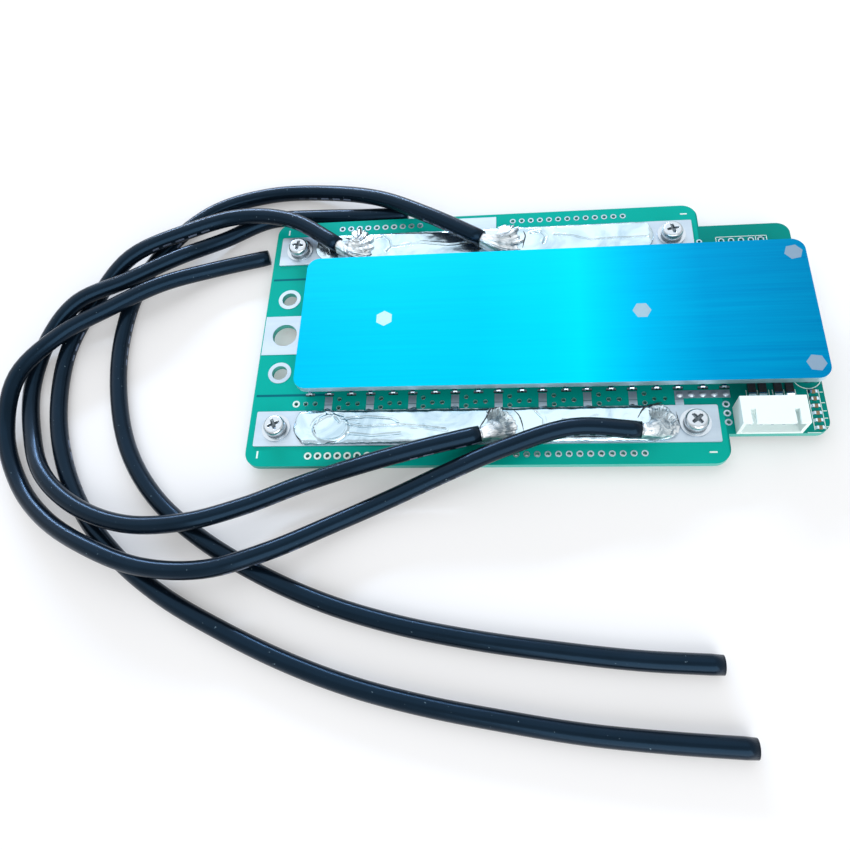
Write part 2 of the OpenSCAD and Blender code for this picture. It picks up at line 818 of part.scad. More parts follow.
// The tinned strands leave the insulation as a round stub, fan out and run down on to
// the crown of the solder bed. spread is the fan's middle on the bed, from the cable's end.
module solder_joint(end, route, spread, side) {
    d = unit([route[0][0] - route[1][0], route[0][1] - route[1][1], 0]);
    turn = atan2(d[1], d[0]);
    stub = 1.2;
    difference() {
        translate(end) {
            rotate([0, 90, turn]) cylinder(h = stub + 0.3, d = wire_d, $fn = 24);
            hull() {
                translate(d * stub) rotate([0, 90, turn])
                    cylinder(h = 0.6, d = wire_d + 0.4, $fn = 16);
                translate([spread[0], spread[1], bar_t - wire_rise + 0.2])
                    cylinder(h = bed_h + 0.5, r1 = 3.4, r2 = 2.2, $fn = 20);
            }
        }
        crown(side);
    }
}

module battery_joint_left() {
    color("whitesmoke")
    solder_joint(battery_left_end, battery_left_route, [5.5, 3.2], -1);
}

module battery_joint_right() {
    color("whitesmoke")
    solder_joint(battery_right_end, battery_right_route, [4.9, 2.8], -1);
}

module load_joint_left() {
    color("whitesmoke")
    solder_joint(load_left_end, load_left_route, [6, 0.5], 1);
}

module load_joint_right() {
    color("whitesmoke")
    solder_joint(load_right_end, load_right_route, [5.6, 0.2], 1);
}

module battery_cable_left() {
    color("#1b2a33") cable(led_from(battery_left_end, battery_left_route), cable_d);
}
module battery_cable_right() {
    color("#1b2a33") cable(led_from(battery_right_end, battery_right_route), cable_d);
}
module load_cable_left() {
    color("#1b2a33") cable(led_from(load_left_end, load_left_route), cable_d);
}
module load_cable_right() {
    color("#1b2a33") cable(led_from(load_right_end, load_right_route), cable_d);
}

circuit_board();
tinned_lands();
battery_bus_bar();
load_bus_bar();
battery_solder_bed();
load_solder_bed();
heat_sink_plate();
thermal_pads();
standoffs();
standoff_screws();
strip_screws();
spring_washers();
flat_washers();
strip_nuts();
battery_side_transistors();
load_side_transistors();
transistor_tabs();
transistor_leads();
connector_housing();
connector_contacts();
chip_resistors();
chip_capacitors();
chip_terminals();
controller_chip();
controller_leads();
sense_resistors();
battery_joint_left();
battery_joint_right();
load_joint_left();
load_joint_right();
battery_cable_left();
battery_cable_right();
load_cable_left();
load_cable_right();
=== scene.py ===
# Looks for a battery management board: solder mask, tinned copper, frozen solder, anodised
# plate, nickel-plated screws, nylon socket and silicone cables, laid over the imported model.
import math
import random

import bmesh
import bpy
from mathutils import Matrix, Vector, noise


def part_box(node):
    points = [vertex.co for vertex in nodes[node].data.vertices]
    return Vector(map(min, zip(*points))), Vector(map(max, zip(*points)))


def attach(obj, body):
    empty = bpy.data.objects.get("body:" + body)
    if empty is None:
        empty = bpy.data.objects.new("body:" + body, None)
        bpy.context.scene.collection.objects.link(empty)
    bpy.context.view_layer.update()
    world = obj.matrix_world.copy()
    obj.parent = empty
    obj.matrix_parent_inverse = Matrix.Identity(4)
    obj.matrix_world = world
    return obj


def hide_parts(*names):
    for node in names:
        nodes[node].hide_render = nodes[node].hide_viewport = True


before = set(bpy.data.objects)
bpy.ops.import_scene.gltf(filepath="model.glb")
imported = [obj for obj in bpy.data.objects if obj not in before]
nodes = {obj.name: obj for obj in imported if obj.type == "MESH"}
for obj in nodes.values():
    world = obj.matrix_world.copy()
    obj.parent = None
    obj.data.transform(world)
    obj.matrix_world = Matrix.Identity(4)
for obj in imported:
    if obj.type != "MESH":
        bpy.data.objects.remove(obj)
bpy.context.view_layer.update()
random.seed(7)

MM = 0.001

# Levels and places in millimetres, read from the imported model
board_lo, board_hi = [Vector(c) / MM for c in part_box("circuit_board")]
bar_lo, bar_hi = [Vector(c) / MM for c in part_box("battery_bus_bar")]
bed_lo, bed_hi = [Vector(c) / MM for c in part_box("battery_solder_bed")]
plate_lo, plate_hi = [Vector(c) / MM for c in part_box("heat_sink_plate")]
socket_lo = Vector(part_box("connector_housing")[0]) / MM
left, right = board_lo.x, board_hi.x
half_w = board_hi.y
z_top = board_hi.z
z_bar = bar_hi.z
strip_y = -(bar_lo.y + bar_hi.y) / 2
strip_w = bar_hi.y - bar_lo.y
main_right = bar_hi.x + (bar_lo.x - left)
ext_front = socket_lo.y


# ---- camera and cables first ----

def place_camera():
    """A camera at the height of someone looking down on the bench."""
    cam = bpy.data.objects.new("camera", bpy.data.cameras.new("camera"))
    bpy.context.scene.collection.objects.link(cam)
    cam.data.lens = 30.62
    cam.data.sensor_width = 36
    cam.data.clip_start = 0.005
    right_dir = Vector((0.9925, 0.0383, -0.1161))
    up_dir = Vector((0.0133, 0.9100, 0.4144))
    back_dir = Vector((0.1215, -0.4128, 0.9027))
    turn = Matrix((right_dir, up_dir, back_dir)).transposed()
    cam.matrix_world = Matrix.Translation((-0.00295, -0.10279, 0.16848)) @ turn.to_4x4()
    bpy.context.scene.camera = cam


place_camera()

cable_routes = {
    "battery_cable_left": [
        (-11, -32, 8), (-27, -36, 8), (-41, -39.5, 6.6), (-55, -43.5, 4.8), (-69, -49.5, 5.6),
        (-83, -54, 7), (-98, -54.5, 7), (-112, -50, 7), (-124, -41, 6), (-132.5, -28, 3),
        (-137, -13, 2.3), (-135, 1.5, 3.8), (-126.5, 11.5, 7.2), (-113, 18.5, 7),
        (-100, 26.5, 6), (-88, 34.5, 3), (-75, 41.5, 2.3), (-60, 42, 2.3),
        (-46, 41.5, 2.3), (-33, 41.5, 2.3)],
    "battery_cable_right": [
        (27, -31.5, 8), (11, -30.5, 8), (-5, -35.5, 7.8), (-19, -41, 5.8), (-33, -47, 3.6),
        (-47, -53.5, 3.6), (-61, -61, 6.8), (-76, -65.5, 7), (-92, -65, 7), (-107, -60, 7),
        (-121, -52.5, 5), (-132.5, -42, 3), (-139.5, -28, 4), (-138.5, -12.5, 7.3),
        (-129.5, 0.5, 7), (-116.5, 9, 7), (-103, 17, 6.4), (-89, 24, 3), (-73.5, 28, 2.3)],
    "load_cable_left": [
        (-51.5, 27, 8), (-66, 36.5, 8), (-82, 39.5, 7.2), (-98, 35, 7.1), (-114, 27, 6.7),
        (-124.5, 14.5, 2.6), (-129, -1.5, 2.3), (-127.5, -19, 2.3), (-122, -35, 2.3),
        (-113, -49.5, 2.3), (-101, -61.5, 2.3), (-87, -71, 2.3), (-71.5, -78.5, 2.3),
        (-55.5, -85, 2.3), (-39.5, -90, 2.3), (-23, -93.5, 2.3), (-6, -96, 2.3),
        (11, -98, 2.3), (28, -99, 2.3), (45, -99.5, 2.3)],
    "load_cable_right": [
        (-11, 27, 8), (-26, 36, 8), (-41, 44.5, 6.4), (-58, 50.5, 3.2), (-76, 51.5, 2.3),
        (-92.5, 46.5, 2.3), (-104.5, 35, 2.3), (-112, 19.5, 2.3), (-113.5, 1.5, 2.3),
        (-110.5, -16.5, 2.3), (-104, -33, 2.3), (-93.5, -46.5, 2.3), (-79.5, -57, 2.3),
        (-63.5, -65.5, 2.3), (-47, -72, 2.3), (-30, -76.5, 2.3), (-12.5, -79.5, 2.3),
        (5, -81.5, 2.3), (23, -83, 2.3), (40.5, -83.5, 2.3)],
}
cable_d = 4.5


def smooth_line(points, per_span=7):
    """The points joined by one smooth curve that passes through each."""
    pts = [Vector(p) for p in points]
    pts = [2 * pts[0] - pts[1]] + pts + [2 * pts[-1] - pts[-2]]
    line = []
    for a, b, c, d in zip(pts, pts[1:], pts[2:], pts[3:]):
        for k in range(per_span):
            t = k / per_span
            line.append(0.5 * (2 * b + (c - a) * t + (2 * a - 5 * b + 4 * c - d) * t * t
                               + (3 * b - a - 3 * c + d) * t ** 3))
    return line + [pts[-2]]


def finish_piece(bm, name, stands_for=(), material=None, smooth=True):
    """Turns a bmesh in millimetres into a piece that rides on the board."""
    bmesh.ops.scale(bm, vec=(MM, MM, MM), verts=bm.verts)
    for face in bm.faces:
        face.smooth = smooth
    mesh = bpy.data.meshes.new(name)
    bm.to_mesh(mesh)
    bm.free()
    piece = bpy.data.objects.new(name, mesh)
    bpy.context.scene.collection.objects.link(piece)
    if material:
        mesh.materials.append(material)
    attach(piece, "root")
    for node in stands_for:
        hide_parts(node)
    return piece


def frame_at(line, i):
    """Matrix whose Z runs along a line of points at point i."""
    ahead = (line[min(i + 1, len(line) - 1)] - line[max(i - 1, 0)]).normalized()
    side = ahead.cross(Vector((0, 0, 1))).normalized()
    up = side.cross(ahead)
    return Matrix.Translation(line[i]) @ Matrix((side, up, ahead)).transposed().to_4x4()


def sweep(bm, line, radii, sides):
    """A round tube extruded along a line of points, with a radius at each point."""
    ring = bmesh.ops.create_circle(bm, cap_ends=False, segments=sides, radius=1.0)["verts"]
    edges = list({e for v in ring for e in v.link_edges})
    first = frame_at(line, 0) @ Matrix.Diagonal((radii[0], radii[0], 1, 1))
    bmesh.ops.transform(bm, matrix=first, verts=ring)
    before = first
    rings = [ring]
    for i in range(1, len(line)):
        grown = bmesh.ops.extrude_edge_only(bm, edges=edges)["geom"]
        ring = [g for g in grown if isinstance(g, bmesh.types.BMVert)]
        edges = [g for g in grown if isinstance(g, bmesh.types.BMEdge)]
        after = frame_at(line, i) @ Matrix.Diagonal((radii[i], radii[i], 1, 1))
        bmesh.ops.transform(bm, matrix=after @ before.inverted(), verts=ring)
        before = after
        rings.append(ring)
    bmesh.ops.holes_fill(bm, edges=[e for e in bm.edges if e.is_boundary], sides=0)
    bmesh.ops.recalc_face_normals(bm, faces=bm.faces)
    return rings


# ---- materials ----

def colour(text):
    """An sRGB hex colour as linear RGBA."""
    parts = [int(text[i:i + 2], 16) / 255 for i in (1, 3, 5)]
    return tuple(c / 12.92 if c < 0.04045 else ((c + 0.055) / 1.055) ** 2.4
                 for c in parts) + (1.0,)


def add(tree, kind, inputs=None, **settings):
    """Adds a node, sets it and its inputs, and links those that are sockets."""
    node = tree.nodes.new(kind)
    for key, value in settings.items():
        setattr(node, key, value)
    for key, value in (inputs or {}).items():
        if isinstance(value, bpy.types.NodeSocket):
            tree.links.new(value, node.inputs[key])
        else:
            node.inputs[key].default_value = value
    return node


def start(name, base, roughness, metallic=0.0, **sockets):
    """A Principled material with its plain values; returns it, its tree and its shader."""
    mat = bpy.data.materials.new(name)
    mat.use_nodes = True
    shader = mat.node_tree.nodes["Principled BSDF"]
    shader.inputs["Base Color"].default_value = colour(base)
    shader.inputs["Roughness"].default_value = roughness
    shader.inputs["Metallic"].default_value = metallic
    for key, value in sockets.items():
        shader.inputs[key.replace("_", " ")].default_value = value
    return mat, mat.node_tree, shader


def bumped(tree, shader, height, distance, strength=1.0):
    bump = add(tree, "ShaderNodeBump", {"Height": height, "Distance": distance,
                                        "Strength": strength})
    tree.links.new(bump.outputs["Normal"], shader.inputs["Normal"])


def object_place(tree):
    return add(tree, "ShaderNodeTexCoord").outputs["Object"]


def blend_colours(tree, share, first, second):
    """first where share is 0, second where it is 1; each a hex colour or a socket."""
    mix = add(tree, "ShaderNodeMix", {0: share}, data_type="RGBA")
    for index, value in ((6, first), (7, second)):
        if isinstance(value, str):
            mix.inputs[index].default_value = colour(value)
        else:
            tree.links.new(value, mix.inputs[index])
    return mix.outputs[2]


def reckon(tree, operation, a, b=0.0, clamp=False):
    return add(tree, "ShaderNodeMath", {0: a, 1: b}, operation=operation,
               use_clamp=clamp).outputs[0]


def within(tree, value, low, high, soft=0.05):
    """1 where value (metres) lies between low and high (millimetres), with soft edges."""
    rise = add(tree, "ShaderNodeMapRange", {"Value": value, "From Min": (low - soft) * MM,
                                            "From Max": (low + soft) * MM}).outputs[0]
    fall = add(tree, "ShaderNodeMapRange", {"Value": value, "From Min": (high - soft) * MM,
                                            "From Max": (high + soft) * MM}).outputs[0]
    return reckon(tree, "SUBTRACT", rise, fall, clamp=True)


def solder_mask():
    """Glossy green solder mask on glass-fibre laminate: light teal where copper lies under
    it, dark green where the copper is cut away, and raw laminate on the cut edges."""
    mat, tree, shader = start("green_solder_mask", "#05AA96", 0.3, IOR=1.5,
                              Specular_IOR_Level=0.06)
    place = object_place(tree)
    xyz = add(tree, "ShaderNodeSeparateXYZ", {0: place}).outputs
    side = reckon(tree, "ABSOLUTE", xyz["Y"])
    drift = add(tree, "ShaderNodeTexNoise", {"Vector": place, "Scale": 35.0, "Detail": 2.0})
    light = blend_colours(tree, drift.outputs["Fac"], "#00A392", "#03B2A4")
    bays = reckon(tree, "MULTIPLY", within(tree, xyz["X"], left + 14.4, main_right - 0.6, 0.2),
                  within(tree, side, 12.0, strip_y - strip_w / 2 + 1, 0.1))
    groove = reckon(tree, "MULTIPLY", within(tree, xyz["X"], left + 0.7, left + 20),
                    within(tree, side, 18.15, 18.85, 0.08))
    control = within(tree, xyz["X"], main_right - 0.4, right + 5, 0.1)
    base = blend_colours(tree, bays, light, "#009F93")
    base = blend_colours(tree, control, base, "#00897E")
    base = blend_colours(tree, groove, base, "#006A76")
    upright = add(tree, "ShaderNodeSeparateXYZ",
                  {0: add(tree, "ShaderNodeTexCoord").outputs["Normal"]}).outputs["Z"]
    edge = reckon(tree, "LESS_THAN", reckon(tree, "ABSOLUTE", upright), 0.5)
    base = blend_colours(tree, edge, base, "#5FB9AE")
    tree.links.new(base, shader.inputs["Base Color"])
    weave = add(tree, "ShaderNodeTexNoise", {"Vector": place, "Scale": 700.0, "Detail": 3.0})
    bumped(tree, shader, weave.outputs["Fac"], 0.00002, 0.5)
    return mat


def tin_plate():
    """Hot-tinned copper: pale blue-grey satin metal with soft wiped streaks; the fingers
    are crossed by a fine line where the mask divides them."""
    mat, tree, shader = start("tinned_copper", "#C3D5E2", 0.38, 0.75)
    place = object_place(tree)
    stretched = add(tree, "ShaderNodeMapping", {"Vector": place, "Scale": (60, 260, 60)})
    streak = add(tree, "ShaderNodeTexNoise", {"Vector": stretched.outputs[0], "Scale": 1.0,
                                              "Detail": 4.0})
    base = blend_colours(tree, streak.outputs["Fac"], "#A6B8C8", "#CEDCE6")
    xyz = add(tree, "ShaderNodeSeparateXYZ", {0: place}).outputs
    side = reckon(tree, "ABSOLUTE", xyz["Y"])
    line = within(tree, side, 21.45, 21.62, 0.04)
    tree.links.new(blend_colours(tree, line, base, "#4E7C86"), shader.inputs["Base Color"])
    bumped(tree, shader, streak.outputs["Fac"], 0.00005, 0.6)
    return mat


def frozen_solder():
    """Bright solder that froze in ripples: near-white metal, greyer in random patches."""
    mat, tree, shader = start("frozen_solder", "#C6DDEA", 0.25, 1.0)
    place = object_place(tree)
    lumps = add(tree, "ShaderNodeTexNoise", {"Vector": place, "Scale": 300.0, "Detail": 4.0,
                                             "Distortion": 0.6})
    broad = add(tree, "ShaderNodeTexNoise", {"Vector": place, "Scale": 90.0, "Detail": 3.0,
                                             "Distortion": 1.2})
    ramp = add(tree, "ShaderNodeValToRGB", {"Fac": broad.outputs["Fac"]})
    ramp.color_ramp.elements[0].position = 0.36
    ramp.color_ramp.elements[0].color = colour("#AFC8D6")
    ramp.color_ramp.elements[1].position = 0.55
    ramp.color_ramp.elements[1].color = colour("#D0E6F1")
    tree.links.new(ramp.outputs[0], shader.inputs["Base Color"])
    bumped(tree, shader, lumps.outputs["Fac"], 0.00016, 0.5)
    return mat


def strand_tin():
    """Tinned copper strands half drowned in solder: whiter and finer grained."""
    mat, tree, shader = start("tinned_strands", "#E4ECF0", 0.36, 0.85)
    place = object_place(tree)
    grain = add(tree, "ShaderNodeTexNoise", {"Vector": place, "Scale": 1500.0, "Detail": 3.0})
    broad = add(tree, "ShaderNodeTexNoise", {"Vector": place, "Scale": 420.0, "Detail": 3.0,
                                             "Distortion": 1.0})
    ramp = add(tree, "ShaderNodeValToRGB", {"Fac": broad.outputs["Fac"]})
    ramp.color_ramp.elements[0].position = 0.34
    ramp.color_ramp.elements[0].color = colour("#9FB0BC")
    ramp.color_ramp.elements[1].position = 0.5
    ramp.color_ramp.elements[1].color = colour("#EFF5F8")
    tree.links.new(ramp.outputs[0], shader.inputs["Base Color"])
    bumped(tree, shader, grain.outputs["Fac"], 0.00006, 0.5)
    return mat


def anodised_plate():
    """Blue anodised aluminium sheet: satin, brushed along its length and scuffed. Its colour runs
    from bright cyan at the left to deeper blue at the right as a painted reflection, and its
    sawn sides are painted pale: bare metal, and a painted highlight where the lamps catch them."""
    mat, tree, shader = start("blue_anodised_aluminium", "#00B4F0", 0.42, 1.0)
    place = object_place(tree)
    xyz = add(tree, "ShaderNodeSeparateXYZ", {0: place}).outputs
    # painted reflection: the colour along the plate runs from bright cyan at the left to deeper
    # blue at the right
    along = add(tree, "ShaderNodeMapRange", {"Value": xyz["X"], "From Min": plate_lo.x * MM,
                                             "From Max": plate_hi.x * MM}).outputs[0]
    ramp = add(tree, "ShaderNodeValToRGB", {"Fac": along}).color_ramp
    painted_reflection_stops = ((0.0, "#00A4CA"), (0.19, "#00AECC"), (0.36, "#00B0CE"), (0.5, "#00BEDA"),
              (0.56, "#00C8E3"), (0.62, "#00B6DE"), (0.68, "#00A2D3"), (0.8, "#0082BC"),
              (1.0, "#006FAA"))
    ramp.elements[0].position, ramp.elements[1].position = 0.0, 1.0
    ramp.elements[0].color, ramp.elements[1].color = colour(painted_reflection_stops[0][1]), colour(painted_reflection_stops[-1][1])
    for stop, shade in painted_reflection_stops[1:-1]:
        ramp.elements.new(stop).color = colour(shade)
    tone = tree.nodes["Color Ramp"].outputs[0]
    brushed = add(tree, "ShaderNodeMapping", {"Vector": place, "Scale": (30, 1600, 30)})
    lines = add(tree, "ShaderNodeTexNoise", {"Vector": brushed.outputs[0], "Scale": 1.0,
                                             "Detail": 3.0})
    tone = blend_colours(tree, reckon(tree, "MULTIPLY", lines.outputs["Fac"], 0.22), tone,
                         "#00E6FF")
    # painted highlight: the plate's sides are painted pale, standing also for their bare metal
    upright = add(tree, "ShaderNodeSeparateXYZ",
                  {0: add(tree, "ShaderNodeTexCoord").outputs["Normal"]}).outputs["Z"]
    edge = reckon(tree, "LESS_THAN", reckon(tree, "ABSOLUTE", upright), 0.94)
    tone = blend_colours(tree, edge, tone, "#CFE6F0")
    tree.links.new(tone, shader.inputs["Base Color"])
    bumped(tree, shader, lines.outputs["Fac"], 0.00001, 0.4)
    return mat


def nickel_steel():
    """Nickel-plated steel screws and washers: bright, a little cool."""
    mat, tree, shader = start("nickel_plated_steel", "#C6CFD6", 0.2, 1.0)
    wear = add(tree, "ShaderNodeTexNoise", {"Vector": object_place(tree), "Scale": 900.0,
                                            "Detail": 3.0})
    rough = add(tree, "ShaderNodeMapRange", {"Value": wear.outputs["Fac"], "To Min": 0.12,
                                             "To Max": 0.36}).outputs[0]
    tree.links.new(rough, shader.inputs["Roughness"])
    bumped(tree, shader, wear.outputs["Fac"], 0.00004, 0.5)
    return mat


def white_nylon():
    """Moulded natural nylon: milky, faintly cool, with a fine moulded skin."""
    mat, tree, shader = start("moulded_nylon", "#EEFCFA", 0.42, IOR=1.53)
    shader.inputs["Subsurface Weight"].default_value = 0.15
    shader.inputs["Subsurface Radius"].default_value = (0.001, 0.001, 0.001)
    skin = add(tree, "ShaderNodeTexNoise", {"Vector": object_place(tree), "Scale": 1200.0,
                                            "Detail": 2.0})
    bumped(tree, shader, skin.outputs["Fac"], 0.00002, 0.4)
    return mat


def moulded_epoxy():
    """Black epoxy moulding compound: matt, with a fine sparkle of filler."""
    mat, tree, shader = start("moulded_epoxy", "#23282C", 0.55)
    grit = add(tree, "ShaderNodeTexNoise", {"Vector": object_place(tree), "Scale": 2500.0,
                                            "Detail": 2.0})
    tree.links.new(blend_colours(tree, grit.outputs["Fac"], "#14181B", "#3A4146"),
                   shader.inputs["Base Color"])
    bumped(tree, shader, grit.outputs["Fac"], 0.00002, 0.5)
    return mat


def ceramic_chip():
    """Fired ceramic bodies of small capacitors: tan and matt."""
    mat, tree, shader = start("fired_ceramic", "#8F7558", 0.5)
    mottle = add(tree, "ShaderNodeTexNoise", {"Vector": object_place(tree), "Scale": 1800.0})
    tree.links.new(blend_colours(tree, mottle.outputs["Fac"], "#7C6248", "#A58A6A"),
                   shader.inputs["Base Color"])
    return mat


def gap_silicone():
    """Soft grey thermal silicone sheet, matt and slightly dusty."""
    mat, tree, shader = start("thermal_silicone", "#8D949A", 0.75)
    dust = add(tree, "ShaderNodeTexNoise", {"Vector": object_place(tree), "Scale": 600.0,
                                            "Detail": 4.0})
    tree.links.new(blend_colours(tree, dust.outputs["Fac"], "#7C8388", "#A3AAAF"),
                   shader.inputs["Base Color"])
    return mat


def cable_silicone():
    """Black silicone rubber insulation: satin, faintly dusty, with a worn pale print of
    short dashes along one side."""
    mat, tree, shader = start("black_silicone_rubber", "#0B1218", 0.24, IOR=1.43,
                              Specular_IOR_Level=0.5, Specular_Tint=colour("#7DB4E4"))
    uv = add(tree, "ShaderNodeTexCoord").outputs["UV"]
    uvw = add(tree, "ShaderNodeSeparateXYZ", {0: uv}).outputs
    place = object_place(tree)
    cloud = add(tree, "ShaderNodeTexNoise", {"Vector": place, "Scale": 160.0, "Detail": 4.0})
    base = blend_colours(tree, cloud.outputs["Fac"], "#060C12", "#0E1A26")
    flecks = add(tree, "ShaderNodeTexNoise", {"Vector": place, "Scale": 1400.0, "Detail": 1.0})
    fleck = add(tree, "ShaderNodeMapRange", {"Value": flecks.outputs["Fac"], "From Min": 0.76,
                                             "From Max": 0.8, "To Max": 0.55}).outputs[0]
    base = blend_colours(tree, fleck, base, "#7D94A0")
    # dashes 2.6 mm long every 4 mm, in groups 18 mm long every 44 mm
    group = reckon(tree, "LESS_THAN", reckon(tree, "MODULO", uvw["X"], 44.0), 18.0)
    dash = reckon(tree, "LESS_THAN", reckon(tree, "MODULO", uvw["X"], 4.0), 2.6)
    band = within(tree, reckon(tree, "MULTIPLY", uvw["Y"], MM), -0.3, 0.3, 0.08)
    worn = add(tree, "ShaderNodeMapRange", {"Value": cloud.outputs["Fac"], "From Min": 0.35,
                                            "From Max": 0.6, "To Min": 0.1,
                                            "To Max": 0.5}).outputs[0]
    ink = reckon(tree, "MULTIPLY", reckon(tree, "MULTIPLY", group, dash),
                 reckon(tree, "MULTIPLY", band, worn))
    base = blend_colours(tree, ink, base, "#8FA0BE")
    tree.links.new(base, shader.inputs["Base Color"])
    skin = add(tree, "ShaderNodeTexNoise", {"Vector": place, "Scale": 500.0, "Detail": 4.0})
    bumped(tree, shader, skin.outputs["Fac"], 0.00003, 0.4)
    return mat


def white_ink():
    """Screen-printed white ink, a little uneven."""
    mat, tree, shader = start("screen_printed_ink", "#EAFBF7", 0.5)
    thin = add(tree, "ShaderNodeTexNoise", {"Vector": object_place(tree), "Scale": 2000.0})
    tree.links.new(blend_colours(tree, thin.outputs["Fac"], "#D0F2EA", "#F8FFFD"),
                   shader.inputs["Base Color"])
    return mat


def dark_residue_and_shade():
    """Dark, glassy flux residue left beside the solder; the same dark finish is painted shade in
    the solder's creases and in front of the lead tips.
    """
    mat, tree, shader = start("residue_and_painted_shade", "#1E2B31", 0.25, IOR=1.52)
    stain = add(tree, "ShaderNodeTexNoise", {"Vector": object_place(tree), "Scale": 500.0,
                                             "Detail": 3.0})
    tree.links.new(blend_colours(tree, stain.outputs["Fac"], "#10191D", "#3E4C50"),
                   shader.inputs["Base Color"])
    return mat


def pressed_steel():
    """Plated steel of the pressed-in standoffs: bright at the left, greyer to the right, a painted
    reflection.
    """
    mat, tree, shader = start("pressed_in_steel", "#B9D4DC", 0.3, 1.0)
    place = object_place(tree)
    xyz = add(tree, "ShaderNodeSeparateXYZ", {0: place}).outputs
    along = add(tree, "ShaderNodeMapRange", {"Value": xyz["X"], "From Min": -0.04,
                                             "From Max": 0.065}).outputs[0]
    grain = add(tree, "ShaderNodeTexNoise", {"Vector": place, "Scale": 900.0, "Detail": 3.0})
    # painted reflection: pale cyan at the left, greyer to the right across the board
    tone = blend_colours(tree, along, "#BFE8EE", "#869FB6")
    share = reckon(tree, "MULTIPLY", grain.outputs["Fac"], 0.4)
    tree.links.new(blend_colours(tree, share, tone, "#7C95A8"), shader.inputs["Base Color"])
    bumped(tree, shader, grain.outputs["Fac"], 0.00003, 0.5)
    return mat


def steel_in_painted_shade():
    """Dull, dark steel of the screws' recesses and the spring washers: painted shade in the
    recesses and under the heads.
    """
    mat, tree, shader = start("steel_in_painted_shade", "#69747C", 0.45, 1.0)
    grain = add(tree, "ShaderNodeTexNoise", {"Vector": object_place(tree), "Scale": 1100.0,
                                             "Detail": 3.0})
    tree.links.new(blend_colours(tree, grain.outputs["Fac"], "#434D55", "#98A4AC"),
                   shader.inputs["Base Color"])
    bumped(tree, shader, grain.outputs["Fac"], 0.00004, 0.5)
    return mat


finishes = {
    "mask": solder_mask(), "tin": tin_plate(), "solder": frozen_solder(),
    "strands": strand_tin(), "plate": anodised_plate(), "nickel": nickel_steel(),
    "nylon": white_nylon(), "epoxy": moulded_epoxy(), "ceramic": ceramic_chip(),
    "silicone_pad": gap_silicone(), "cable": cable_silicone(), "ink": white_ink(),
    "shade_and_residue": dark_residue_and_shade(), "pressed": pressed_steel(), "painted_shade_steel": steel_in_painted_shade(),
}

node_finishes = {
    "circuit_board": "mask", "tinned_lands": "tin", "battery_bus_bar": "tin",
    "load_bus_bar": "tin", "heat_sink_plate": "plate", "thermal_pads": "silicone_pad",
    "standoffs": "pressed", "standoff_screws": "nickel", "strip_screws": "nickel",
    # the spring washers take the dark steel: painted shade under the screw heads
    "spring_washers": "painted_shade_steel", "flat_washers": "nickel", "strip_nuts": "nickel",
    "battery_side_transistors": "epoxy", "load_side_transistors": "epoxy",
    "transistor_tabs": "tin", "transistor_leads": "solder", "connector_housing": "nylon",
    "connector_contacts": "tin", "chip_resistors": "epoxy", "chip_capacitors": "ceramic",
    "chip_terminals": "solder", "controller_chip": "epoxy", "controller_leads": "tin",
    "sense_resistors": "epoxy",
}
for name, finish in node_finishes.items():
    slots = nodes[name].data.materials
    slots.clear()
    slots.append(finishes[finish])


# ---- cables ----

def make_cable(node, route):
    line = smooth_line(route)
    lengths = [0.0]
    for a, b in zip(line, line[1:]):
        lengths.append(lengths[-1] + (b - a).length)
    radii = [cable_d / 2] * len(line)
    radii[0] = radii[-1] = cable_d / 2 - 0.12
    sides = 24
    bm = bmesh.new()
    rings = sweep(bm, line, radii, sides)
    # UV in millimetres: along the cable, and round it from the side that faces up
    uv = bm.loops.layers.uv.new("along")
    where = {v: (lengths[i], k) for i, ring in enumerate(rings) for k, v in enumerate(ring)}
    for face in bm.faces:
        ks = [where[loop.vert][1] for loop in face.loops]
        wraps = max(ks) - min(ks) > sides / 2
        for loop in face.loops:
            run, k = where[loop.vert]
            if wraps and k < sides / 2:
                k += sides
            loop[uv].uv = (run, (k - sides * 0.25) * math.pi * cable_d / sides)
    piece = finish_piece(bm, node + "_insulation", [node], finishes["cable"])
    return piece


for node, route in cable_routes.items():
    make_cable(node, route)


# ---- solder over the strips ----

finger_pitch = 11.0
first_finger = left + 20.49
drop_centre, drop_reach = (-49.05, -28.65), (4.25, 3.45)

# creases in the solder of each strip: points along the crease, half width, depth
creases = {
    -1: (
        (((-45.2, -27.5), (-41.3, -28.4), (-36.2, -28.2), (-30.6, -28.1), (-25.1, -28.6),
          (-19.6, -29.4)), 0.2, 0.3),
        (((-46.5, -26.2), (-40.0, -25.6), (-33.5, -26.2), (-31.8, -27.2)), 0.25, 0.18),
        (((-44.6, -30.2), (-38.0, -30.9), (-31.0, -30.3)), 0.3, 0.18),
        (((-50.5, -24.2), (-48.8, -25.1), (-47.1, -26.9)), 0.22, 0.35),
        (((2.5, -25.0), (4.4, -27.0), (4.3, -29.6), (2.8, -31.2)), 0.2, 0.3),
        (((9.0, -27.2), (14.5, -28.4), (20.0, -27.6), (25.5, -28.6)), 0.22, 0.22),
    ),
    1: (
        (((-36.7, 27.7), (-28.0, 28.6), (-20.0, 27.6), (-13.5, 28.2)), 0.2, 0.22),
        (((-41.0, 30.9), (-38.8, 31.4), (-37.2, 30.2), (-36.7, 27.7), (-38.0, 26.2)), 0.22, 0.3),
        (((2.6, 30.3), (5.4, 30.7), (6.6, 29.0), (5.9, 26.7)), 0.24, 0.34),
        (((9.0, 29.4), (14.3, 28.8), (19.0, 27.1), (24.9, 27.5), (33.9, 27.5)), 0.2, 0.24),
        (((-57.0, 29.4), (-55.2, 28.0), (-54.6, 26.0)), 0.22, 0.25),
    ),
}


def lumpy(x, y, scale, seed):
    return noise.noise(Vector((x * scale, y * scale, seed)))


